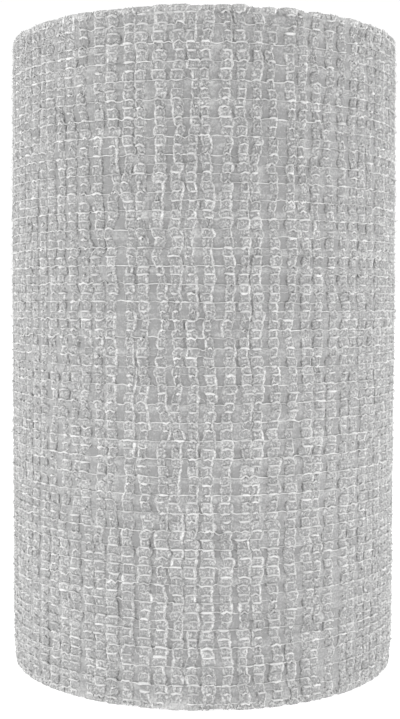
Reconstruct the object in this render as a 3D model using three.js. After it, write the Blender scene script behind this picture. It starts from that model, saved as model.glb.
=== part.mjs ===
// A roll of cohesive bandage standing on one end, in millimetres, +Z up. The origin is at the
// middle of its base, on the winding axis, and the cut end of the strip lies at the back, on +Y.
//
// One strip is wound on itself with no core, so the roll is one solid of its wound form: a spiral
// outline that steps up by one turn at the cut end, sides that swell a little at half height,
// rims rounded by the soft edges of the turns, and the small eye that the winding spindle left.

import * as THREE from "three";

const STRIP_WIDTH = 100; // the strip stands on its edge, so this is the height of the roll
const OUTER_RADIUS = 31.7; // over the tufts of the weave, at the cut end
const TURN_PITCH = 1.1; // what the radius loses in one turn back from the cut end
const EYE_RADIUS = 3;
const CUT_END_ANGLE = Math.PI / 2; // from +X towards +Y
const CUT_END_STEP = 0.9; // arc over which the cut end drops to the turn beneath it
const COLUMNS = 72; // faces round the roll

// The side, from the base up: how far it stands out from a plain cylinder at each height.
const SIDE = [
  { height: 0, out: -0.7 },
  { height: 0.4, out: -0.3 },
  { height: 1.4, out: -0.05 },
  { height: 6, out: 0.05 },
  { height: 30, out: 0.1 },
  { height: 56, out: 0.15 },
  { height: 85, out: 0 },
  { height: 98.4, out: -0.1 },
  { height: 99.6, out: -0.3 },
  { height: STRIP_WIDTH, out: -0.7 },
];

// Each end, from the eye out: how far the edges of the turns lie inside the tallest ones.
const END_FACE = [
  { radius: EYE_RADIUS, sunk: 0.9 },
  { radius: 5.5, sunk: 0.5 },
  { radius: 9, sunk: 0 },
];

// Radius of the outer turn, over the tufts, a given share of the way round from the cut end.
function turnRadius(share) {
  return OUTER_RADIUS - TURN_PITCH * share;
}

// One section through the wall of the roll, as radius and height: out along the base, up the
// side, in along the top and down the eye.
function wallSection(share) {
  const base = END_FACE.map(({ radius, sunk }) => [radius, sunk]);
  const side = SIDE.map(({ height, out }) => [turnRadius(share) + out, height]);
  const top = END_FACE.map(({ radius, sunk }) => [radius, STRIP_WIDTH - sunk]);
  return [...base, ...side, ...top.reverse()];
}

// The sections stand round the axis from the cut end, and the last one stops short of the first
// by the step, so the quads between those two are the face of the cut end.
function woundRoll() {
  const sweep = 2 * Math.PI - CUT_END_STEP / OUTER_RADIUS;
  const positions = [];
  for (let column = 0; column <= COLUMNS; column++) {
    const share = column / COLUMNS;
    const angle = CUT_END_ANGLE + sweep * share;
    for (const [radius, height] of wallSection(share)) {
      positions.push(radius * Math.cos(angle), radius * Math.sin(angle), height);
    }
  }

  const columns = COLUMNS + 1;
  const rows = wallSection(0).length;
  const faces = [];
  for (let column = 0; column < columns; column++) {
    const next = (column + 1) % columns;
    for (let row = 0; row < rows; row++) {
      const above = (row + 1) % rows;
      const a = column * rows + row;
      const b = next * rows + row;
      const c = next * rows + above;
      const d = column * rows + above;
      faces.push(a, b, c, a, c, d);
    }
  }

  const geometry = new THREE.BufferGeometry();
  geometry.setAttribute("position", new THREE.Float32BufferAttribute(positions, 3));
  geometry.setIndex(faces);
  geometry.computeVertexNormals();
  return geometry;
}

const roll = new THREE.Mesh(
  woundRoll(),
  new THREE.MeshStandardMaterial({ color: 0xc4c4c2, roughness: 0.95, metalness: 0 }),
);
roll.name = "bandage_roll";

const part = new THREE.Group();
part.add(roll);

export default part;
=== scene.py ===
import math

import bpy
import numpy as np
from mathutils import Matrix, Vector


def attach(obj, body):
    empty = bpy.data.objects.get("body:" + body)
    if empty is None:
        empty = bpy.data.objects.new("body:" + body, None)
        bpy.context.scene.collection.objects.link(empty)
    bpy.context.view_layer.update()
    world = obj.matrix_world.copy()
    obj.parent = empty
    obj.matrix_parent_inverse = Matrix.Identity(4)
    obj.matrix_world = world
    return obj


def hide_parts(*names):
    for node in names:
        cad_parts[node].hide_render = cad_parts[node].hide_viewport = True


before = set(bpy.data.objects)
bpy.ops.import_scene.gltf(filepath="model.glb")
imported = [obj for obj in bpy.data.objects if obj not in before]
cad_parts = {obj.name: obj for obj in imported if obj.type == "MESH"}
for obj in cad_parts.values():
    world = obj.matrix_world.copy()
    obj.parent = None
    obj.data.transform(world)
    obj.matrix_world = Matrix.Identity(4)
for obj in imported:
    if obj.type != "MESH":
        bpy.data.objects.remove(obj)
bpy.ops.object.select_all(action="DESELECT")
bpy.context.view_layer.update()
mm = 0.001

# The wound form, as the solid has it
roll = {
    "node": "bandage_roll",
    "height": 100 * mm,
    "outerRadius": 31.7 * mm,  # over the tufts, at the cut end
    "turnPitch": 1.1 * mm,
    "eyeRadius": 3.0 * mm,
    "cutEndAngle": math.pi / 2,  # the cut end lies at the back
    "sideHeight": [0, 0.5, 1.4, 6, 30, 56, 85, 98.4, 99.5, 100],  # mm up the side
    "sideOut": [0, 0, 0.02, 0.1, 0.1, 0.15, 0, -0.1, -0.15, -0.3],  # mm out there
    "baseOval": 0.32 * mm,  # how far the base edge splays at the front and draws in at the sides
    "baseOvalReach": 2.8 * mm,  # up the side
}


def foundation(turns, up, lift):
    # A point of the strip: turns back from the cut end, height up the roll, lift above the turn beneath
    back = 2 * math.pi * turns
    out = np.interp(up / mm, roll["sideHeight"], roll["sideOut"]) * mm
    out += roll["baseOval"] * np.cos(2 * back) * np.exp(-up / roll["baseOvalReach"])
    radius = roll["outerRadius"] + out - roll["turnPitch"] * (turns + 1) + lift
    angle = roll["cutEndAngle"] + back
    return np.stack([radius * np.cos(angle), radius * np.sin(angle), up], axis=-1)


def outward(turns):
    angle = roll["cutEndAngle"] + 2 * math.pi * turns
    return np.stack([np.cos(angle), np.sin(angle), np.zeros_like(angle)], axis=-1)


print("frame loaded")

# Camera, at the photo's viewing angle
cameraSet = {
    "distance": 209.9 * mm,  # from the winding axis
    "elevation": 2.466,  # degrees above the middle of the roll
    "roll": 0.138,  # degrees
    "aimSide": -0.80 * mm,  # from the middle of the roll
    "aimUp": -1.11 * mm,
    "lens": 63.38,  # mm
    "filmWidth": 36,  # mm
    "clip": (0.01, 20),  # m
}


def makeCamera():
    data = bpy.data.cameras.new("photoCamera")
    data.lens = cameraSet["lens"]
    data.sensor_width = cameraSet["filmWidth"]
    data.clip_start, data.clip_end = cameraSet["clip"]
    camera = bpy.data.objects.new("photoCamera", data)
    bpy.context.scene.collection.objects.link(camera)
    middle = Vector((0, 0, roll["height"] / 2))
    tilt = math.radians(cameraSet["elevation"])
    camera.location = middle + cameraSet["distance"] * Vector((0, -math.cos(tilt), math.sin(tilt)))
    aim = middle + Vector((cameraSet["aimSide"], 0, cameraSet["aimUp"]))
    look = (aim - camera.location).to_track_quat("-Z", "Y")
    turn = Matrix.Rotation(math.radians(cameraSet["roll"]), 3, "Z").to_quaternion()
    camera.rotation_mode = "QUATERNION"
    camera.rotation_quaternion = look @ turn
    bpy.context.scene.camera = camera


makeCamera()

# Random unevenness. Every draw comes from the one generator, so their order matters
seed = 11
rng = np.random.default_rng(seed)


def blur(field, axis, span):
    # Smooths an array along one axis
    if span <= 0:
        return field
    reach = min(int(3 * span) + 1, field.shape[axis] - 1)
    kernel = np.exp(-0.5 * (np.arange(-reach, reach + 1) / span) ** 2)
    padded = np.pad(field, [(reach, reach) if a == axis else (0, 0) for a in (0, 1)], "reflect")
    return np.apply_along_axis(lambda line: np.convolve(line, kernel, "valid"), axis, padded)


def stray(by, columns, rows):
    # A smooth random field with a mean of 0. The value it goes by, kept in the dictionary of a piece,
    # has three numbers: its spread, and how many columns and how many rows it stays alike over
    spread, columnSpan, rowSpan = by
    field = blur(blur(rng.standard_normal((columns, rows)), 0, columnSpan), 1, rowSpan)
    return spread * (field - field.mean()) / field.std()


# Meshes
threadSides = 3  # corners round every yarn and fibre
floorGap = 0.02 * mm  # from the floor up to the lowest post or fibre


def makeMesh(name, points, faces, tone):
    mesh = bpy.data.meshes.new(name)
    mesh.from_pydata(points.reshape(-1, 3).tolist(), [], faces)
    mesh.polygons.foreach_set("use_smooth", np.ones(len(mesh.polygons), bool))
    shade = mesh.attributes.new("tone", "FLOAT", "POINT")  # how bright the yarn is there, painted light and shade included
    shade.data.foreach_set("value", tone.astype(np.float32).ravel())
    mesh.update()
    piece = bpy.data.objects.new(name, mesh)
    bpy.context.scene.collection.objects.link(piece)
    return piece


def tubeRings(paths, upright, radius):
    # Rings of points round many paths at once
    # paths and upright are (tubes, points, 3), radius is (tubes, points)
    along = np.gradient(paths, axis=1)
    along /= np.linalg.norm(along, axis=2, keepdims=True)
    across = np.cross(along, upright)
    across /= np.linalg.norm(across, axis=2, keepdims=True)
    above = np.cross(across, along)
    corner = math.pi / 2 + 2 * math.pi * np.arange(threadSides) / threadSides
    sideways = across[:, :, None, :] * np.cos(corner)[:, None]
    turned = sideways + above[:, :, None, :] * np.sin(corner)[:, None]
    return paths[:, :, None, :] + turned * radius[:, :, None, None]


def makeTubes(name, rings, tone):
    # Joins rings of points, (tubes, rings, corners, 3), into closed tubes with plain ends
    count, length, sides = rings.shape[:3]
    index = np.arange(count * length * sides).reshape(count, length, sides)
    after = np.roll(index, -1, axis=2)
    walls = np.stack([index[:, :-1], index[:, 1:], after[:, 1:], after[:, :-1]], axis=-1)
    ends = index[:, 0].tolist() + index[:, -1, ::-1].tolist()
    return makeMesh(name, rings, walls.reshape(-1, 4).tolist() + ends, tone)


# The weave of the strip: posts stand crosswise, yarns run lengthwise and cross over them in pairs.
# The columns of its fields are posts and the rows are yarns
weave = {
    "posts": 82,  # in one turn
    "yarns": 76,  # from edge to edge
    "edge": 1.1 * mm,  # from the strip's edge to its first yarn
    "firstPost": 0.3,  # of the room of one post, from the cut end
    "lean": (0.28 * mm, 7, 9),  # how posts stray along the strip
    "drift": (0.24 * mm, 0, 14),
    "wander": (0.16 * mm, 0, 1.6),
    "jump": (0.13 * mm, 1.0, 0),
    "wave": (0.035 * mm, 4, 2),  # how yarns stray up and down
    "jitter": (0.015 * mm, 0, 0),
    "couples": 64,  # places where two posts lean together
    "coupleReach": 0.4 * mm,
    "coupleSpan": (0.8, 2.2),  # yarns up and down from there
    "pairing": 0.72,  # how strongly yarns pair up
    "pairingPatches": (1.2, 7, 3),
    "pairAtPost": 0.08 * mm,  # how far the two yarns of a pair draw together on a post
    "pairInGap": 0.26 * mm,  # and between the posts
    "showing": (0.55, 0.45),  # how much a yarn shows between the posts, and more or less by patches
    "showingPatches": (3, 12, 6),
    "dip": 0.075 * mm,  # how far a yarn bends down or up on each post
    "dipPatches": (1.5, 5, 0.6),
    "dipChange": (0.5, 0, 0),
}
turnLength = 2 * math.pi * (roll["outerRadius"] - roll["turnPitch"])
postGap = turnLength / weave["posts"]
columns = weave["posts"]
rows = weave["yarns"]
alternate = (-1.0) ** np.arange(rows)

# Which yarns pair up, from place to place: above 0 a yarn draws up to the next one, below 0 down
pairing = weave["pairing"] * np.tanh(stray(weave["pairingPatches"], columns, rows)) * alternate

# Every second yarn shows between the posts: 1 where it does, 0 where it sinks out of sight
showing = np.tanh(stray(weave["showingPatches"], columns, rows)) * alternate
showing = weave["showing"][0] + weave["showing"][1] * showing


def crossings():
    # Where each post meets each yarn: arc along the strip and height up it, as arrays (posts, yarns)
    column = np.arange(columns)[:, None]
    row = np.arange(rows)[None, :]
    arc = (column + weave["firstPost"]) * postGap + np.zeros((columns, rows))
    for by in ("lean", "drift", "wander", "jump"):
        arc += stray(weave[by], columns, rows)
    for couple in range(weave["couples"]):
        left = rng.integers(1, columns - 2)
        middle = rng.integers(0, rows)
        away = (row - middle) / rng.uniform(*weave["coupleSpan"])
        pull = np.exp(-0.5 * away**2) * weave["coupleReach"]
        arc += pull * ((column == left) * 1.0 - (column == left + 1) * 1.0)
    span = roll["height"] - 2 * weave["edge"]
    up = weave["edge"] + span * row / (rows - 1) + np.zeros((columns, rows))
    for by in ("wave", "jitter"):
        up += stray(weave[by], columns, rows)
    return arc, up


arc, up = crossings()
dip = weave["dip"] * np.tanh(stray(weave["dipPatches"], columns, rows))
dip *= 1 + stray(weave["dipChange"], columns, rows)
postUp = up + pairing * weave["pairAtPost"] - dip
print("weave laid out")

# Posts: blocks of four strands side by side, one block in every cell between two yarns.
# The columns of its fields are posts and the rows are cells
post = {
    "width": 1.14 * mm,
    "widthChange": (0.23, 0, 0.5),
    "widthDrift": (0.14, 6, 7),
    "widest": 1.9 * mm,
    "narrowest": 0.6 * mm,
    "waist": 0.93,  # of the width, where a yarn crosses
    "shortWidth": 1.08,  # of the width, in a short cell
    "blockShift": 0.12 * mm,
    "lift": 0.92 * mm,
    "liftChange": 0.025 * mm,
    "pressed": 0.1 * mm,  # lower by this where a yarn crosses
    "shortDrop": 0.05 * mm,
    "thickness": 0.4 * mm,
    "levels": (0.12, 0.5, 0.88),  # of the way from yarn to yarn: the three rings of points of a block
    "strands": (-0.42, -0.15, 0.15, 0.42),  # of the width: the crests of the four strands
    "strandStray": 0.04,  # from block to block
    "strandSway": 0.025,  # from ring to ring
    "ridge": 0.08 * mm,
    "ridgeChange": 0.05 * mm,
    "valley": 0.02 * mm,  # how deep the strands part
    "stub": (1.07 * mm, 1.02 * mm),  # how far past the last yarn, at the base and at the top
    "ragged": (0.34 * mm, 0.08 * mm),
    "raggedFrom": 0.1 * mm,  # less than this doesn't lift a post off the base
    "rimLevels": (1.0, 0.7, 0.25),  # of the way past the last yarn: the rings there, from the edge in
    "rimWidth": (1.15, 1.45, 1.35),  # of the width there
    "rimLift": (0.12 * mm, 0.1 * mm),  # how far the stubs stand out, at the base and at the top
    "rimRound": 0.18 * mm,  # how far the very edge turns in
    "rimTone": (0.04, 0.3),  # brighter there, at the base and at the top, the top partly for its fluffy ends and partly as painted highlight of the light from above
    "tone": 0.1,
    "blockTone": 0.05,
    "ridgeTone": 0.06,
    # painted shade in the crease where the strands part
    "valleyPaintedShade": -0.05,
    # painted light lifting the shade of a short cell between the two yarns of a pair
    "shortPaintedLight": 0.04,
    "sidePaintedLight": (0.28, 0.03, -0.03, 0.02),  # painted highlight and shade across the strands, from the side towards the cut end, standing for side light
    # how much the painted highlight on the strand towards the cut end changes from block to block
    "sidePaintedLightChange": 0.13,
    "sideRise": 0.07 * mm,
    "sideTurn": 0.47,  # of a turn, where the painted highlight moves to the other side of the strands, as that side comes to face the cut end
    "sideStray": (0.05, 1, 2.5),  # of a turn, how far that strays
    "skirt": 0.36 * mm,  # how far the foot of a block spreads past its edge
    "skirtPaintedLight": (0.4, 0.08),  # painted light at the foot, lifting the shade of the crevices, and painted highlight and shade more or less on the two sides
    "crowdReach": 1.0 * mm,  # posts that stand closer than this crowd each other
    "crowdPaintedLight": 0.18,  # painted light between them, lifting the shade in the narrow gap
}
postWidth = post["width"] * np.exp(stray(post["widthChange"], columns, rows + 1))
postWidth *= np.exp(stray(post["widthDrift"], columns, rows + 1))
postWidth = np.clip(postWidth, post["narrowest"], post["widest"])


def crowding(middle, width):
    # 1 where a post and the next one touch, 0 where they stand apart and at both ends of the turn
    between = np.diff(middle, axis=0) - (width[1:] + width[:-1]) / 2
    return np.pad(np.clip(1 - between / post["crowdReach"], 0, 1), ((1, 1), (0, 0)))


def layStrands(cell):
    # The crests of the strands in every block: place across it, rise and tone, the tone with a painted
    # side highlight
    size = cell["short"].shape
    strands = len(post["strands"])
    cell["across"] = np.array(post["strands"]) + rng.normal(0, post["strandStray"], (*size, strands))
    cell["ridge"] = post["ridge"] + rng.normal(0, post["ridgeChange"], (*size, strands))
    cell["ridgeTone"] = rng.normal(0, post["ridgeTone"], (*size, strands))
    place = cell["arc"][:, :-1] / turnLength + stray(post["sideStray"], *size)
    turned = place > post["sideTurn"]
    facing = np.arange(strands) == turned[..., None] * (strands - 1)  # the strand towards the cut end
    cell["turned"] = turned
    # painted highlight and shade across the strands, brightest on the strand towards the cut end
    cell["ridgeTone"] += np.where(turned[..., None], post["sidePaintedLight"][::-1], post["sidePaintedLight"])
    cell["ridgeTone"] += facing * rng.normal(0, post["sidePaintedLightChange"], size)[..., None]
    cell["ridge"] += facing * post["sideRise"]


def blockRing(cell, level):
    # A ring of points round every block, its corners listed from the right foot over to the left one.
    # Level 0 lies beside the yarn below, 1 half way up and 2 beside the yarn above
    share = np.full(cell["short"].shape, post["levels"][level])
    share[:, 0] = 1 - post["rimLevels"][level]
    share[:, -1] = post["rimLevels"][-1 - level]
    middle = cell["arc"][:, :-1] * (1 - share) + cell["arc"][:, 1:] * share + cell["shift"]
    height = cell["up"][:, :-1] * (1 - share) + cell["up"][:, 1:] * share
    lift = post["lift"] - post["shortDrop"] * cell["short"]
    lift += rng.normal(0, post["liftChange"], share.shape)
    lift[:, [0, -1]] += post["rimLift"]
    width = cell["width"].copy()
    width[:, 0] *= post["rimWidth"][level]
    width[:, -1] *= post["rimWidth"][-1 - level]
    foot = post["skirt"] / cell["width"]
    if level != 1:  # beside a yarn
        lift -= post["pressed"]
        width *= post["waist"]
        foot /= post["waist"]
    if level == 0:
        lift[:, 0] -= post["rimRound"]
    if level == 2:
        lift[:, -1] -= post["rimRound"]

    skirtPaintedLight, sideSkirtPaintedLight = post["skirtPaintedLight"]
    # painted highlight on the foot towards the cut end and painted shade on the other foot
    sideSkirtPaintedLight = sideSkirtPaintedLight * (2 * cell["turned"] - 1)
    # painted light in the narrow gaps where posts crowd each other
    crowdPaintedLight = post["crowdPaintedLight"] * cell["crowd"]
    # the feet are painted lighter, lifting the shade in the crevices beside the posts
    corners = [(0.5 + foot, lift - post["thickness"], skirtPaintedLight + sideSkirtPaintedLight + crowdPaintedLight[1:])]
    for strand in reversed(range(len(post["strands"]))):
        crest = cell["across"][..., strand] + rng.normal(0, post["strandSway"], share.shape)
        rise = lift + cell["ridge"][..., strand]
        corners.append((crest, rise, cell["tone"] + cell["ridgeTone"][..., strand]))
        if strand:
            parting = (cell["across"][..., strand] + cell["across"][..., strand - 1]) / 2
            # painted shade in the parting between two strands
            corners.append((parting, lift - post["valley"], cell["tone"] + post["valleyPaintedShade"]))
    corners.append((-0.5 - foot, lift - post["thickness"], skirtPaintedLight - sideSkirtPaintedLight + crowdPaintedLight[:-1]))
    across, rise, tone = (np.stack(part, axis=-1) for part in zip(*corners))
    # brighter at the ends of the posts, the top partly with painted highlight
    tone[:, 0] += post["rimTone"][0]
    tone[:, -1] += post["rimTone"][1]
    arcLine = middle[..., None] + across * width[..., None]
    return arcLine, height[..., None] + 0 * arcLine, rise, tone


def makePosts():
    # Cells run from below the first yarn to above the last one
    size = (columns, rows + 1)
    ragged = rng.normal(0, post["ragged"], (columns, 2))
    base = postUp[:, :1] - post["stub"][0] + np.maximum(ragged[:, :1] - post["raggedFrom"], 0)
    top = postUp[:, -1:] + post["stub"][1] + ragged[:, 1:]
    short = np.clip(np.concatenate([-pairing[:, :1], pairing], axis=1), 0, 1)
    cell = {
        "arc": np.concatenate([arc[:, :1], arc, arc[:, -1:]], axis=1),
        "up": np.concatenate([base, postUp, top], axis=1),
        "short": short,
        "width": postWidth * (1 - (1 - post["shortWidth"]) * short),
        "shift": rng.normal(0, post["blockShift"], size),
        # short cells get painted light that lifts their shade
        "tone": post["tone"] + rng.normal(0, post["blockTone"], size) + post["shortPaintedLight"] * short,
    }
    middle = (cell["arc"][:, :-1] + cell["arc"][:, 1:]) / 2 + cell["shift"]
    cell["crowd"] = crowding(middle, cell["width"])
    cell["crowd"][:, [0, -1]] = 0
    layStrands(cell)
    rings = [blockRing(cell, level) for level in range(len(post["levels"]))]
    arcLine, upLine, rise, tone = (
        np.stack(part, axis=2).reshape(columns, -1, part[0].shape[-1]) for part in zip(*rings)
    )
    points = foundation(arcLine / turnLength, np.maximum(upLine, floorGap), rise)
    evenPosts = makeTubes("evenPosts", points[0::2], tone[0::2])
    return [evenPosts, makeTubes("oddPosts", points[1::2], tone[1::2])]


# Yarns: a thick bright cap over each post, thin and low between the posts, with painted shade where
# they sink and painted light where they show.
# The columns of its fields are yarns and the rows are points or caps along them
yarn = {
    "over": 1.01 * mm,  # lift where it crosses a post
    "radius": 0.235 * mm,
    "gapRadius": 0.12 * mm,
    "radiusChange": (0.25, 0, 0.7),
    "hold": (0.0, 0.9, 1.0, 0.9, 0.0, 0.0),  # 1 on a post, 0 off it: six rings of points to a post
    "thick": (0.0, 0.85, 1.0, 0.85, 0.0, 0.0),
    "bow": (0.04 * mm, 0.05 * mm),  # how far a cap arches up
    "wobble": (0.045 * mm, 0, 0.3),
    "sink": 0.29 * mm,  # lower by this between the posts, where it shows
    "sunk": 0.54 * mm,  # and where it doesn't
    "sinkChange": (0.035 * mm, 0, 0.8),
    "overhang": -0.16 * mm,  # how far the cap reaches past the post
    "overhangChange": (0.7, 0, 0),
    "shortest": 0.15 * mm,  # half of a cap
    "longest": 0.34,  # of the room to the next post, half of a cap
    "slope": 0.22 * mm,  # how far past the cap it is down again
    "slopeShare": 0.35,  # at most this much of the yarn that lies free between two caps
    "endRoom": 1.2 * mm,  # free yarn at the two ends of the turn
    "crinkle": 0.1 * mm,  # how far it strays up or down between two posts
    "frayed": (0.1 * mm, 0.9 * mm),  # how far it runs past the cut end
    "tone": 0.63,
    "toneChange": (0.15, 0, 0),
    # its own colour between the posts where it shows, with painted light lifting the shade of its
    # sinking
    "gapTone": 0.72,
    "gapToneChange": (0.15, 0, 1),
    # painted shade where the yarn sinks out of sight between the posts
    "sunkPaintedShade": 0.26,
}


def yarnCourse(first):
    # Arc and height of every point along every second yarn
    arcRow = arc[:, first::2].T
    upRow = postUp[:, first::2].T
    gapRow = (up[:, first::2] + pairing[:, first::2] * weave["pairInGap"] + dip[:, first::2]).T
    widthRow = (postWidth[:, first:rows:2].T + postWidth[:, first + 1 : rows + 1 : 2].T) / 2
    size = arcRow.shape
    gap = np.diff(arcRow, axis=1)
    gapBefore = np.concatenate([gap[:, :1], gap], axis=1)
    gapAfter = np.concatenate([gap, gap[:, -1:]], axis=1)
    frayed = rng.uniform(*yarn["frayed"], size[0])
    half = widthRow * post["waist"] / 2 + yarn["overhang"] * (1 + stray(yarn["overhangChange"], *size))
    left = arcRow - np.clip(half, yarn["shortest"], yarn["longest"] * gapBefore)
    right = arcRow + np.clip(half, yarn["shortest"], yarn["longest"] * gapAfter)
    free = np.pad(left[:, 1:] - right[:, :-1], ((0, 0), (1, 1)), constant_values=yarn["endRoom"])
    slope = np.minimum(yarn["slope"], yarn["slopeShare"] * free)
    between = (gapRow + np.concatenate([gapRow[:, 1:], gapRow[:, -1:]], axis=1)) / 2
    between = between + rng.normal(0, yarn["crinkle"], size)
    bow = rng.normal(*yarn["bow"], size)
    down = right + slope[:, 1:]
    halfWay = right + free[:, 1:] / 2
    arcLine = np.stack([left - slope[:, :-1], left, (left + right) / 2, right, down, halfWay], axis=2)
    upLine = np.stack([gapRow, upRow - bow, upRow + bow, upRow - bow, gapRow, between], axis=2)
    arcLine = arcLine.reshape(size[0], -1)
    upLine = upLine.reshape(size[0], -1)
    arcLine[:, 0] -= frayed
    return arcLine, upLine + stray(yarn["wobble"], *upLine.shape)


def makeYarns(name, first):
    arcLine, upLine = yarnCourse(first)
    size = arcLine.shape
    perPost = len(yarn["hold"])
    hold = np.tile(yarn["hold"], columns)
    thick = np.tile(yarn["thick"], columns)
    showRow = np.repeat(showing[:, first::2].T, perPost, axis=1)
    depth = yarn["sunk"] + (yarn["sink"] - yarn["sunk"]) * showRow
    rise = yarn["over"] - depth * (1 - hold) + stray(yarn["sinkChange"], *size)
    radius = yarn["gapRadius"] + (yarn["radius"] - yarn["gapRadius"]) * thick
    radius = radius * (1 + stray(yarn["radiusChange"], *size))
    gapTone = yarn["gapTone"] + stray(yarn["gapToneChange"], *size)
    # between the posts: painted shade where the yarn is sunk, lifted by painted light where it shows
    low = yarn["sunkPaintedShade"] + (gapTone - yarn["sunkPaintedShade"]) * showRow
    tone = low + (yarn["tone"] - low) * hold
    tone = tone + np.repeat(stray(yarn["toneChange"], size[0], columns), perPost, axis=1)
    turns = arcLine / turnLength
    rings = tubeRings(foundation(turns, upLine, rise), outward(turns), radius)
    return makeTubes(name, rings, np.repeat(tone[:, :, None], threadSides, axis=2))


# The turn beneath, seen through the holes and painted dark as their shade. The columns of its fields
# run along the turn, the rows up it
under = {
    "columnsPerPost": 3,
    "rowsPerYarn": 3,
    "edge": 0.3 * mm,  # from its edges to the ends of the roll
    "ragged": (0.25 * mm, 0.8, 0),  # the cut end, where the columns run up it
    "lift": 0.56 * mm,
    "unevenness": (0.03 * mm, 1.3, 1.0),
    # dark: painted shade of the holes, on the same cloth
    "tone": 0.02,
    "toneChange": (0.06, 0.7, 0.5),
    "rimLift": 0.36 * mm,  # higher by this at its edges
    "rimLiftReach": 1.5,  # mm from the ends of the roll
    # painted light near the ends of the roll, lifting the shade there
    "rimTone": 0.16,
    "rimToneReach": 2.5,
    "bandLift": 0.2 * mm,  # the two yarns of a pair close the hole between them
    "bandTone": 0.13,
    "bandAtYarn": (0.3, 0.18),  # of a band, at a yarn with one above it and at a yarn with one below it
    "fibres": (0.7, 0, 0.4),  # loose fibres close a hole
    "fibresFrom": 0.4,  # less than this doesn't show
    "veil": 0.06,  # how bright that makes it
    "crowdPaintedLight": 0.18,  # painted light where two posts crowd each other, lifting the shade in the narrow gap
    "crowdPaintedLightFrom": 1,  # mm from the ends of the roll
    "crowdLift": 0.1 * mm,
}


def makeUnderTurn():
    perPost, perYarn = under["columnsPerPost"], under["rowsPerYarn"]
    width = columns * perPost + 1
    depth = rows * perYarn
    turns = 1 + np.linspace(0, 1, width)[:, None] + np.zeros((width, depth))
    turns[0] -= stray(under["ragged"], depth, 1)[:, 0] / turnLength
    place = np.clip((np.arange(width) - perPost // 2) / perPost, 0, columns - 1)
    near = np.round(place).astype(int)
    level = np.clip(np.arange(depth) / perYarn, 0, rows - 1)
    below = np.floor(level).astype(int)
    above = np.minimum(below + 1, rows - 1)
    share = level - below
    height = up[near][:, below] * (1 - share) + up[near][:, above] * share
    height[:, 0] = under["edge"]
    height[:, -1] = roll["height"] - under["edge"]

    # How far each hole is closed: by the yarns of a pair, by fibres or by posts that crowd it
    atYarn = share == 0
    beneath = np.maximum(below - 1, 0)
    short = np.clip(pairing[near], 0, 1)
    closed = short[:, below] * np.where(atYarn, under["bandAtYarn"][0], 1)
    closed = closed + short[:, beneath] * np.where(atYarn, under["bandAtYarn"][1], 0)
    hole = np.clip(np.round(np.arange(width) / perPost).astype(int), 0, columns)
    fibres = np.clip(stray(under["fibres"], columns + 1, rows) - under["fibresFrom"], 0, 1)[hole]
    fibres = (fibres[:, below] + fibres[:, np.where(atYarn, beneath, below)]) / 2
    crowd = crowding(arc, postWidth[:, 1:])[hole][:, below]

    edge = np.minimum(height, roll["height"] - height) / mm
    rise = roll["turnPitch"] + under["lift"] + under["bandLift"] * np.maximum(closed, fibres)
    rise = rise + under["rimLift"] * np.clip(under["rimLiftReach"] - edge, 0, 1)
    rise = rise + under["crowdLift"] * crowd + stray(under["unevenness"], width, depth)
    # dark tone: painted shade of the holes
    tone = under["tone"] + stray(under["toneChange"], width, depth)
    tone = tone + np.maximum(closed * under["bandTone"], fibres * under["veil"])
    # painted light in the narrow gaps between crowding posts, away from the ends
    tone = tone + under["crowdPaintedLight"] * crowd * np.clip(edge - under["crowdPaintedLightFrom"], 0, 1)
    # painted light near the ends, lifting the shade there
    tone = tone + under["rimTone"] * np.clip(under["rimToneReach"] - edge, 0, 1)
    index = np.arange(width * depth).reshape(width, depth)
    faces = np.stack([index[:-1, :-1], index[1:, :-1], index[1:, 1:], index[:-1, 1:]], axis=-1)
    return makeMesh("underTurn", foundation(turns, height, rise), faces.reshape(-1, 4).tolist(), tone)


# Loose fibres of the cotton: small curls over the posts and the yarns
fuzz = {
    "count": 3600,
    "length": (0.5 * mm, 1.3 * mm),
    "curl": 0.9,
    "radius": 0.042 * mm,
    "thickness": (0.7, 1.2),  # of that radius, from fibre to fibre
    "taper": (0.7, 1.0, 1.0, 0.6),  # at the points along a fibre
    "asideOfPost": 0.38 * mm,
    "aboveYarn": (-0.2 * mm, 1.3 * mm),
    "lift": (0.9 * mm, 1.1 * mm),
    "liftChange": 0.03 * mm,
    "stand": 0.09 * mm,  # how much further out from one point to the next
    "tone": 0.7,
    "toneChange": 0.12,
}


def makeFuzz():
    count = fuzz["count"]
    points = len(fuzz["taper"])
    column = rng.integers(0, columns, count)
    row = rng.integers(0, rows - 1, count)
    arcLine = [arc[column, row] + rng.normal(0, fuzz["asideOfPost"], count)]
    upLine = [up[column, row] + rng.uniform(*fuzz["aboveYarn"], count)]
    step = rng.uniform(*fuzz["length"], count) / (points - 1)
    lean = rng.uniform(-math.pi, math.pi, count)
    bend = rng.normal(0, fuzz["curl"], count)
    for link in range(points - 1):
        arcLine.append(arcLine[-1] + step * np.cos(lean + bend * link))
        upLine.append(upLine[-1] + step * np.sin(lean + bend * link))
    turns = np.clip(np.stack(arcLine, axis=1), 0, turnLength) / turnLength
    upLine = np.clip(np.stack(upLine, axis=1), floorGap, roll["height"] - floorGap)
    rise = rng.uniform(*fuzz["lift"], (count, 1)) + rng.normal(0, fuzz["liftChange"], (count, points))
    rise += np.abs(rng.normal(0, fuzz["stand"], (count, 1))) * np.arange(points)
    radius = fuzz["radius"] * rng.uniform(*fuzz["thickness"], (count, 1)) * fuzz["taper"]
    rings = tubeRings(foundation(turns, upLine, rise), outward(turns), radius)
    tone = fuzz["tone"] + rng.normal(0, fuzz["toneChange"], (count, 1, 1)) + np.zeros(rings.shape[:3])
    return makeTubes("looseFibres", rings, tone)


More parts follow.
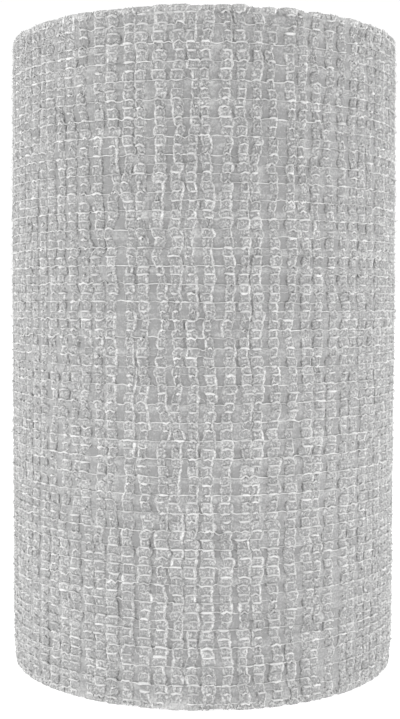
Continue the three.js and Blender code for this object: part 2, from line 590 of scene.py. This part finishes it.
# Cut ends of the strands, frayed along both edges of the strip
fringe = {
    "perPost": 10,
    "length": (0.5 * mm, 0.9 * mm),
    "spread": 0.6 * mm,
    "fan": 0.3 * mm,
    "bend": 0.06 * mm,
    "radius": 0.1 * mm,
    "thickness": (0.7, 1.3),  # of that radius, from strand to strand
    "taper": (1.0, 1.0, 0.7),  # at the points along a strand
    "past": -0.12 * mm,  # how far the ends stand past the edge
    "pastChange": 0.12 * mm,
    "lowest": 0.1 * mm,  # above the floor
    "lift": (0.6 * mm, 1.05 * mm),
    "liftChange": 0.06 * mm,
    "tone": 0.45,
    "toneChange": 0.15,
    "alongTone": (-0.2, 0.0, 0.2),
}


def makeFringe():
    count = columns * fringe["perPost"]
    parts = []
    for edge, side in ((0, -1), (-1, 1)):
        root = np.repeat(arc[:, edge], fringe["perPost"]) + rng.normal(0, fringe["spread"], count)
        tip = root + rng.normal(0, fringe["fan"], count)
        end = side * (fringe["past"] + rng.normal(0, fringe["pastChange"], count))
        end += 0 if side < 0 else roll["height"]
        start = end - side * rng.uniform(*fringe["length"], count)
        middle = (root + tip) / 2 + rng.normal(0, fringe["bend"], count)
        arcLine = np.stack([root, middle, tip], axis=1)
        upLine = np.maximum(np.stack([start, (start + end) / 2, end], axis=1), fringe["lowest"])
        rise = rng.uniform(*fringe["lift"], (count, 1))
        rise = rise + rng.normal(0, fringe["liftChange"], arcLine.shape)
        paths = foundation(np.clip(arcLine, 0, turnLength) / turnLength, upLine, rise)
        radius = fringe["radius"] * rng.uniform(*fringe["thickness"], (count, 1)) * fringe["taper"]
        parts.append(tubeRings(paths, outward(arcLine / turnLength), radius))
    rings = np.concatenate(parts)
    tone = fringe["tone"] + rng.normal(0, fringe["toneChange"], (2 * count, 1, 1))
    tone = tone + np.array(fringe["alongTone"])[:, None] + np.zeros(rings.shape[:3])
    return makeTubes("edgeFringe", rings, tone)


# The turns beneath: one strip wound from the second turn in to the eye.
# The columns of its fields are steps along the strip, in one row
wound = {
    "perPost": 4,  # steps along the strip from one post to the next
    "ends": (0.3, 2),  # steps that it overlaps the outer turn by, and stops short of the eye by
    "inner": 0.12 * mm,  # lift of its inner face above the turn beneath
    "outer": 0.98 * mm,  # and of its outer face
    "across": (0, 0.08, 0.3, 0.7, 0.92, 1),  # places across the edge of the strip
    "drop": (1.4, 0.45, 0.06, 0.0, 0.4, 1.3),  # mm down from its crest there
    "unevenness": (0.16 * mm, 30, 0),  # how far one turn's edge stands above the next
    "jitter": (0.05 * mm, 0.7, 0),
    "sway": (0.07 * mm, 5, 0),
    "faceChange": 0.02 * mm,
    "postRise": 0.10 * mm,
    "postSwell": 0.06 * mm,
    "below": 0.3 * mm,  # how far the crests lie inside the edges of the outer turn
    "least": 0.03 * mm,  # from a crest to the end of the roll
    "sunkRadius": (3, 5.5, 9),  # mm, the ends are dished towards the eye
    "sunk": (0.9, 0.5, 0),  # mm deep there
    "tone": 0.4,
    "toneChange": 0.05,
    "crestTone": 0.3,
}


def turnsAt(length):
    # How many turns a length of the strip takes, from the cut end
    start = roll["outerRadius"] - roll["turnPitch"]
    return (start - np.sqrt(start**2 - roll["turnPitch"] * length / math.pi)) / roll["turnPitch"]


def woundLength():
    # The whole strip, along the middle of its thickness
    middle = (wound["inner"] + wound["outer"]) / 2
    first = roll["outerRadius"] - roll["turnPitch"] + middle
    return math.pi * (first**2 - (roll["eyeRadius"] + middle) ** 2) / roll["turnPitch"]


def makeWoundStrip():
    # Also returns where its steps lie, in turns, how far they sway, and its two crests
    start = roll["outerRadius"] - roll["turnPitch"]
    end = math.pi * (start**2 - (roll["eyeRadius"] - wound["inner"]) ** 2) / roll["turnPitch"]
    step = postGap / wound["perPost"]
    overlap, short = wound["ends"]
    turns = turnsAt(np.arange(turnLength - overlap * step, end - short * step, step))
    count = len(turns)
    onPost = np.cos(2 * math.pi * np.arange(count) / wound["perPost"])
    sway = stray(wound["sway"], count, 1)[:, 0]
    sunk = np.interp((start - roll["turnPitch"] * turns) / mm, wound["sunkRadius"], wound["sunk"]) * mm
    crests = []
    for edge in range(2):
        inside = wound["below"] + sunk - wound["postRise"] * onPost
        inside += stray(wound["unevenness"], count, 1)[:, 0]
        inside += stray(wound["jitter"], count, 1)[:, 0]
        crests.append(np.maximum(inside, wound["least"]))
    across = np.array(wound["across"])
    swell = wound["postSwell"] * onPost[:, None] * (across - 0.5) * 2
    rise = wound["inner"] + (wound["outer"] - wound["inner"]) * across + swell + sway[:, None]
    rise = rise + rng.normal(0, wound["faceChange"], rise.shape)
    drop = np.array(wound["drop"]) * mm
    base = crests[0][:, None] + drop
    top = roll["height"] - crests[1][:, None] - drop
    upLine = np.concatenate([base, top[:, ::-1]], axis=1)
    rise = np.concatenate([rise, rise[:, ::-1]], axis=1)
    points = foundation(turns[:, None] + 0 * upLine, upLine, rise)
    crestTone = wound["crestTone"] * np.clip(1 - drop / mm, 0, 1)
    tone = wound["tone"] + np.concatenate([crestTone, crestTone[::-1]])
    tone = tone + rng.normal(0, wound["toneChange"], upLine.shape)
    return makeTubes("woundStrip", points[None], tone[None]), turns, sway, crests


# Tufts of cut strands that stand along both edges of the wound strip
tuft = {
    "perPost": 6,
    "length": (0.5 * mm, 1.0 * mm),
    "radius": 0.085 * mm,
    "thickness": (0.7, 1.3),  # of that radius, from tuft to tuft
    "taper": (1.0, 0.75),
    "across": (0.1, 0.9),  # from the inner face of the strip to its outer one
    "rise": 0.12 * mm,  # how far they stand above the crest
    "riseShares": (0.2, 1.6),
    "least": 0.08 * mm,  # from a tip to the end of the roll
    "lean": 0.3 * mm,  # along the strip
    "leanOut": 0.18 * mm,
    "tone": 0.85,
    "toneChange": 0.12,
    "alongTone": (-0.2, 0.1),
}


def makeTufts(turns, sway, crests):
    steps = len(turns)
    count = (steps // wound["perPost"]) * tuft["perPost"]
    parts = []
    for edge, side in ((0, -1), (1, 1)):
        place = rng.uniform(0, steps - 1, count)
        near = place.astype(int)
        turn = np.interp(place, np.arange(steps), turns)
        across = rng.uniform(*tuft["across"], count)
        tip = crests[edge][near] - tuft["rise"] * rng.uniform(*tuft["riseShares"], count)
        root = tip + rng.uniform(*tuft["length"], count)
        inside = np.maximum(np.stack([root, tip], axis=1), tuft["least"])
        upLine = inside if side < 0 else roll["height"] - inside
        rise = wound["inner"] + (wound["outer"] - wound["inner"]) * across + sway[near]
        rise = np.stack([rise, rise + rng.normal(0, tuft["leanOut"], count)], axis=1)
        radius = roll["outerRadius"] - roll["turnPitch"] * (turn + 1)
        lean = rng.normal(0, tuft["lean"], count) / (2 * math.pi * radius)
        turn = np.stack([turn, turn + lean], axis=1)
        thickness = tuft["radius"] * rng.uniform(*tuft["thickness"], (count, 1)) * tuft["taper"]
        parts.append(tubeRings(foundation(turn, upLine, rise), outward(turn), thickness))
    rings = np.concatenate(parts)
    tone = tuft["tone"] + rng.normal(0, tuft["toneChange"], (2 * count, 1, 1))
    tone = tone + np.array(tuft["alongTone"])[:, None] + np.zeros(rings.shape[:3])
    return makeTubes("innerTufts", rings, tone)


posts = makePosts()
print("posts made")
evenYarns = makeYarns("evenYarns", 0)
oddYarns = makeYarns("oddYarns", 1)
print("yarns made")
underTurn = makeUnderTurn()
print("turn beneath made")
looseFibres = makeFuzz()
edgeFringe = makeFringe()
print("loose fibres made")
woundStrip, *woundSteps = makeWoundStrip()
innerTufts = makeTufts(*woundSteps)
print("inner turns made")


# Shader maths, so that a sum of sockets is written as a sum
class Flow:
    def __init__(self, tree, socket):
        self.tree = tree
        self.socket = socket

    def maths(self, operation, left, right):
        return addNode(self.tree, "ShaderNodeMath", {"operation": operation}, {0: left, 1: right})

    def __add__(self, other):
        return self.maths("ADD", self, other)

    def __radd__(self, other):
        return self.maths("ADD", other, self)

    def __sub__(self, other):
        return self.maths("SUBTRACT", self, other)

    def __rsub__(self, other):
        return self.maths("SUBTRACT", other, self)

    def __mul__(self, other):
        return self.maths("MULTIPLY", self, other)

    def __rmul__(self, other):
        return self.maths("MULTIPLY", other, self)


def addNode(tree, kind, settings, values, output=0):
    node = tree.nodes.new(kind)
    for name, value in settings.items():
        if name == "stops":
            ramp = node.color_ramp
            for stop, (place, colour) in enumerate(value):
                mark = ramp.elements[stop] if stop < 2 else ramp.elements.new(place)
                mark.position = place
                mark.color = (*colour, 1)
        else:
            setattr(node, name, value)
    for name, value in values.items():
        if isinstance(value, Flow):
            tree.links.new(value.socket, node.inputs[name])
        else:
            node.inputs[name].default_value = value
    return Flow(tree, node.outputs[output])


# Finishes
finish = {
    "dark": (0.25, 0.25, 0.25),
    "light": (0.69, 0.69, 0.685),
    "mottle": {"Scale": 3400, "Detail": 3.0, "Roughness": 0.6},  # in the colour
    "grain": {"Scale": 9000, "Detail": 2.0, "Roughness": 0.6},  # in the relief
    "bump": 0.5,
    "bumpDistance": 0.06 * mm,
    "roughness": 0.9,
    "specular": 0.2,
    "sheen": 0.15,
    "posts": (2.8, 0.0),  # how mottled, and how much more where the tone is brighter
    "yarns": (0.5, 0.0),
    "under": (0.8, 2.0),
}


def clothFinish(name, mottling, byTone):
    material = bpy.data.materials.new(name)
    material.use_nodes = True
    tree = material.node_tree
    shader = tree.nodes["Principled BSDF"]
    place = addNode(tree, "ShaderNodeTexCoord", {}, {}, "Object")
    tone = addNode(tree, "ShaderNodeAttribute", {"attribute_name": "tone"}, {}, "Fac")
    mottle, grain = (
        addNode(
            tree,
            "ShaderNodeTexNoise",
            {"noise_dimensions": "3D"},
            {"Vector": place, **finish[kind]},
            "Fac",
        )
        for kind in ("mottle", "grain")
    )
    colour = addNode(
        tree,
        "ShaderNodeValToRGB",
        {"stops": [(0, finish["dark"]), (1, finish["light"])]},
        {"Fac": tone + (mottle - 0.5) * (mottling + tone * byTone)},
        "Color",
    )
    bump = addNode(
        tree,
        "ShaderNodeBump",
        {},
        {"Strength": finish["bump"], "Distance": finish["bumpDistance"], "Height": grain},
        "Normal",
    )
    tree.links.new(colour.socket, shader.inputs["Base Color"])
    tree.links.new(bump.socket, shader.inputs["Normal"])
    shader.inputs["Roughness"].default_value = finish["roughness"]
    shader.inputs["Specular IOR Level"].default_value = finish["specular"]
    shader.inputs["Sheen Weight"].default_value = finish["sheen"]
    return material


postFinish = clothFinish("postStrands", *finish["posts"])
yarnFinish = clothFinish("lengthwiseYarn", *finish["yarns"])
underFinish = clothFinish("turnBeneath", *finish["under"])
for piece in [*posts, looseFibres, edgeFringe, woundStrip, innerTufts]:
    piece.data.materials.append(postFinish)
for piece in (evenYarns, oddYarns):
    piece.data.materials.append(yarnFinish)
underTurn.data.materials.append(underFinish)

# Light and floor, in metres and watts
lightSet = {
    "world": 1.03,
    "keySize": 0.35,
    "keyPower": 1.2,
    "keyPlace": (-0.55, -0.16, 0.05),
    "fillPower": 1.05,
    "fillPlace": (0.55, -0.16, 0.05),
    "lowSize": 0.06,
    "lowPower": 0.105,
    "lowPlace": (0.14, -0.13, 0.035),  # on the right, and the other one across from it
    "floorGlow": 0.8,
    "floorTone": 0.4,
    "floorSize": 6.0,
}


def addLight(name, size, power, place, aimHeight):
    lamp = bpy.data.lights.new(name, "AREA")
    lamp.shape = "SQUARE"
    lamp.size = size
    lamp.energy = power
    light = bpy.data.objects.new(name, lamp)
    bpy.context.scene.collection.objects.link(light)
    light.location = place
    aim = Vector((0, 0, aimHeight)) - light.location
    light.rotation_euler = aim.to_track_quat("-Z", "Y").to_euler()


def makeStage():
    scene = bpy.context.scene
    scene.view_settings.view_transform = "Standard"
    world = bpy.data.worlds.new("whiteRoom")
    scene.world = world
    world.use_nodes = True
    background = world.node_tree.nodes["Background"]
    background.inputs["Color"].default_value = (1, 1, 1, 1)
    background.inputs["Strength"].default_value = lightSet["world"]
    for name in ("key", "fill"):
        power, place = lightSet[name + "Power"], lightSet[name + "Place"]
        addLight(name + "Light", lightSet["keySize"], power, place, roll["height"] / 2)
    across, depth, height = lightSet["lowPlace"]
    for side in (-1, 1):
        place = (side * across, depth, height)
        addLight("lowLight", lightSet["lowSize"], lightSet["lowPower"], place, 0)
    bpy.ops.mesh.primitive_plane_add(size=lightSet["floorSize"], location=(0, 0, 0))
    floor = bpy.context.object
    floor.name = "floor"
    paint = bpy.data.materials.new("paleFloor")
    paint.use_nodes = True
    shader = paint.node_tree.nodes["Principled BSDF"]
    shader.inputs["Base Color"].default_value = (*[lightSet["floorTone"]] * 3, 1)
    shader.inputs["Emission Color"].default_value = (1, 1, 1, 1)
    shader.inputs["Emission Strength"].default_value = lightSet["floorGlow"]
    floor.data.materials.append(paint)


makeStage()
print("stage made")

outerTurn = [*posts, evenYarns, oddYarns, underTurn, looseFibres, edgeFringe]
for piece in [*outerTurn, woundStrip, innerTufts]:
    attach(piece, "root")
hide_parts(roll["node"])
print("strip length", round(woundLength(), 3))
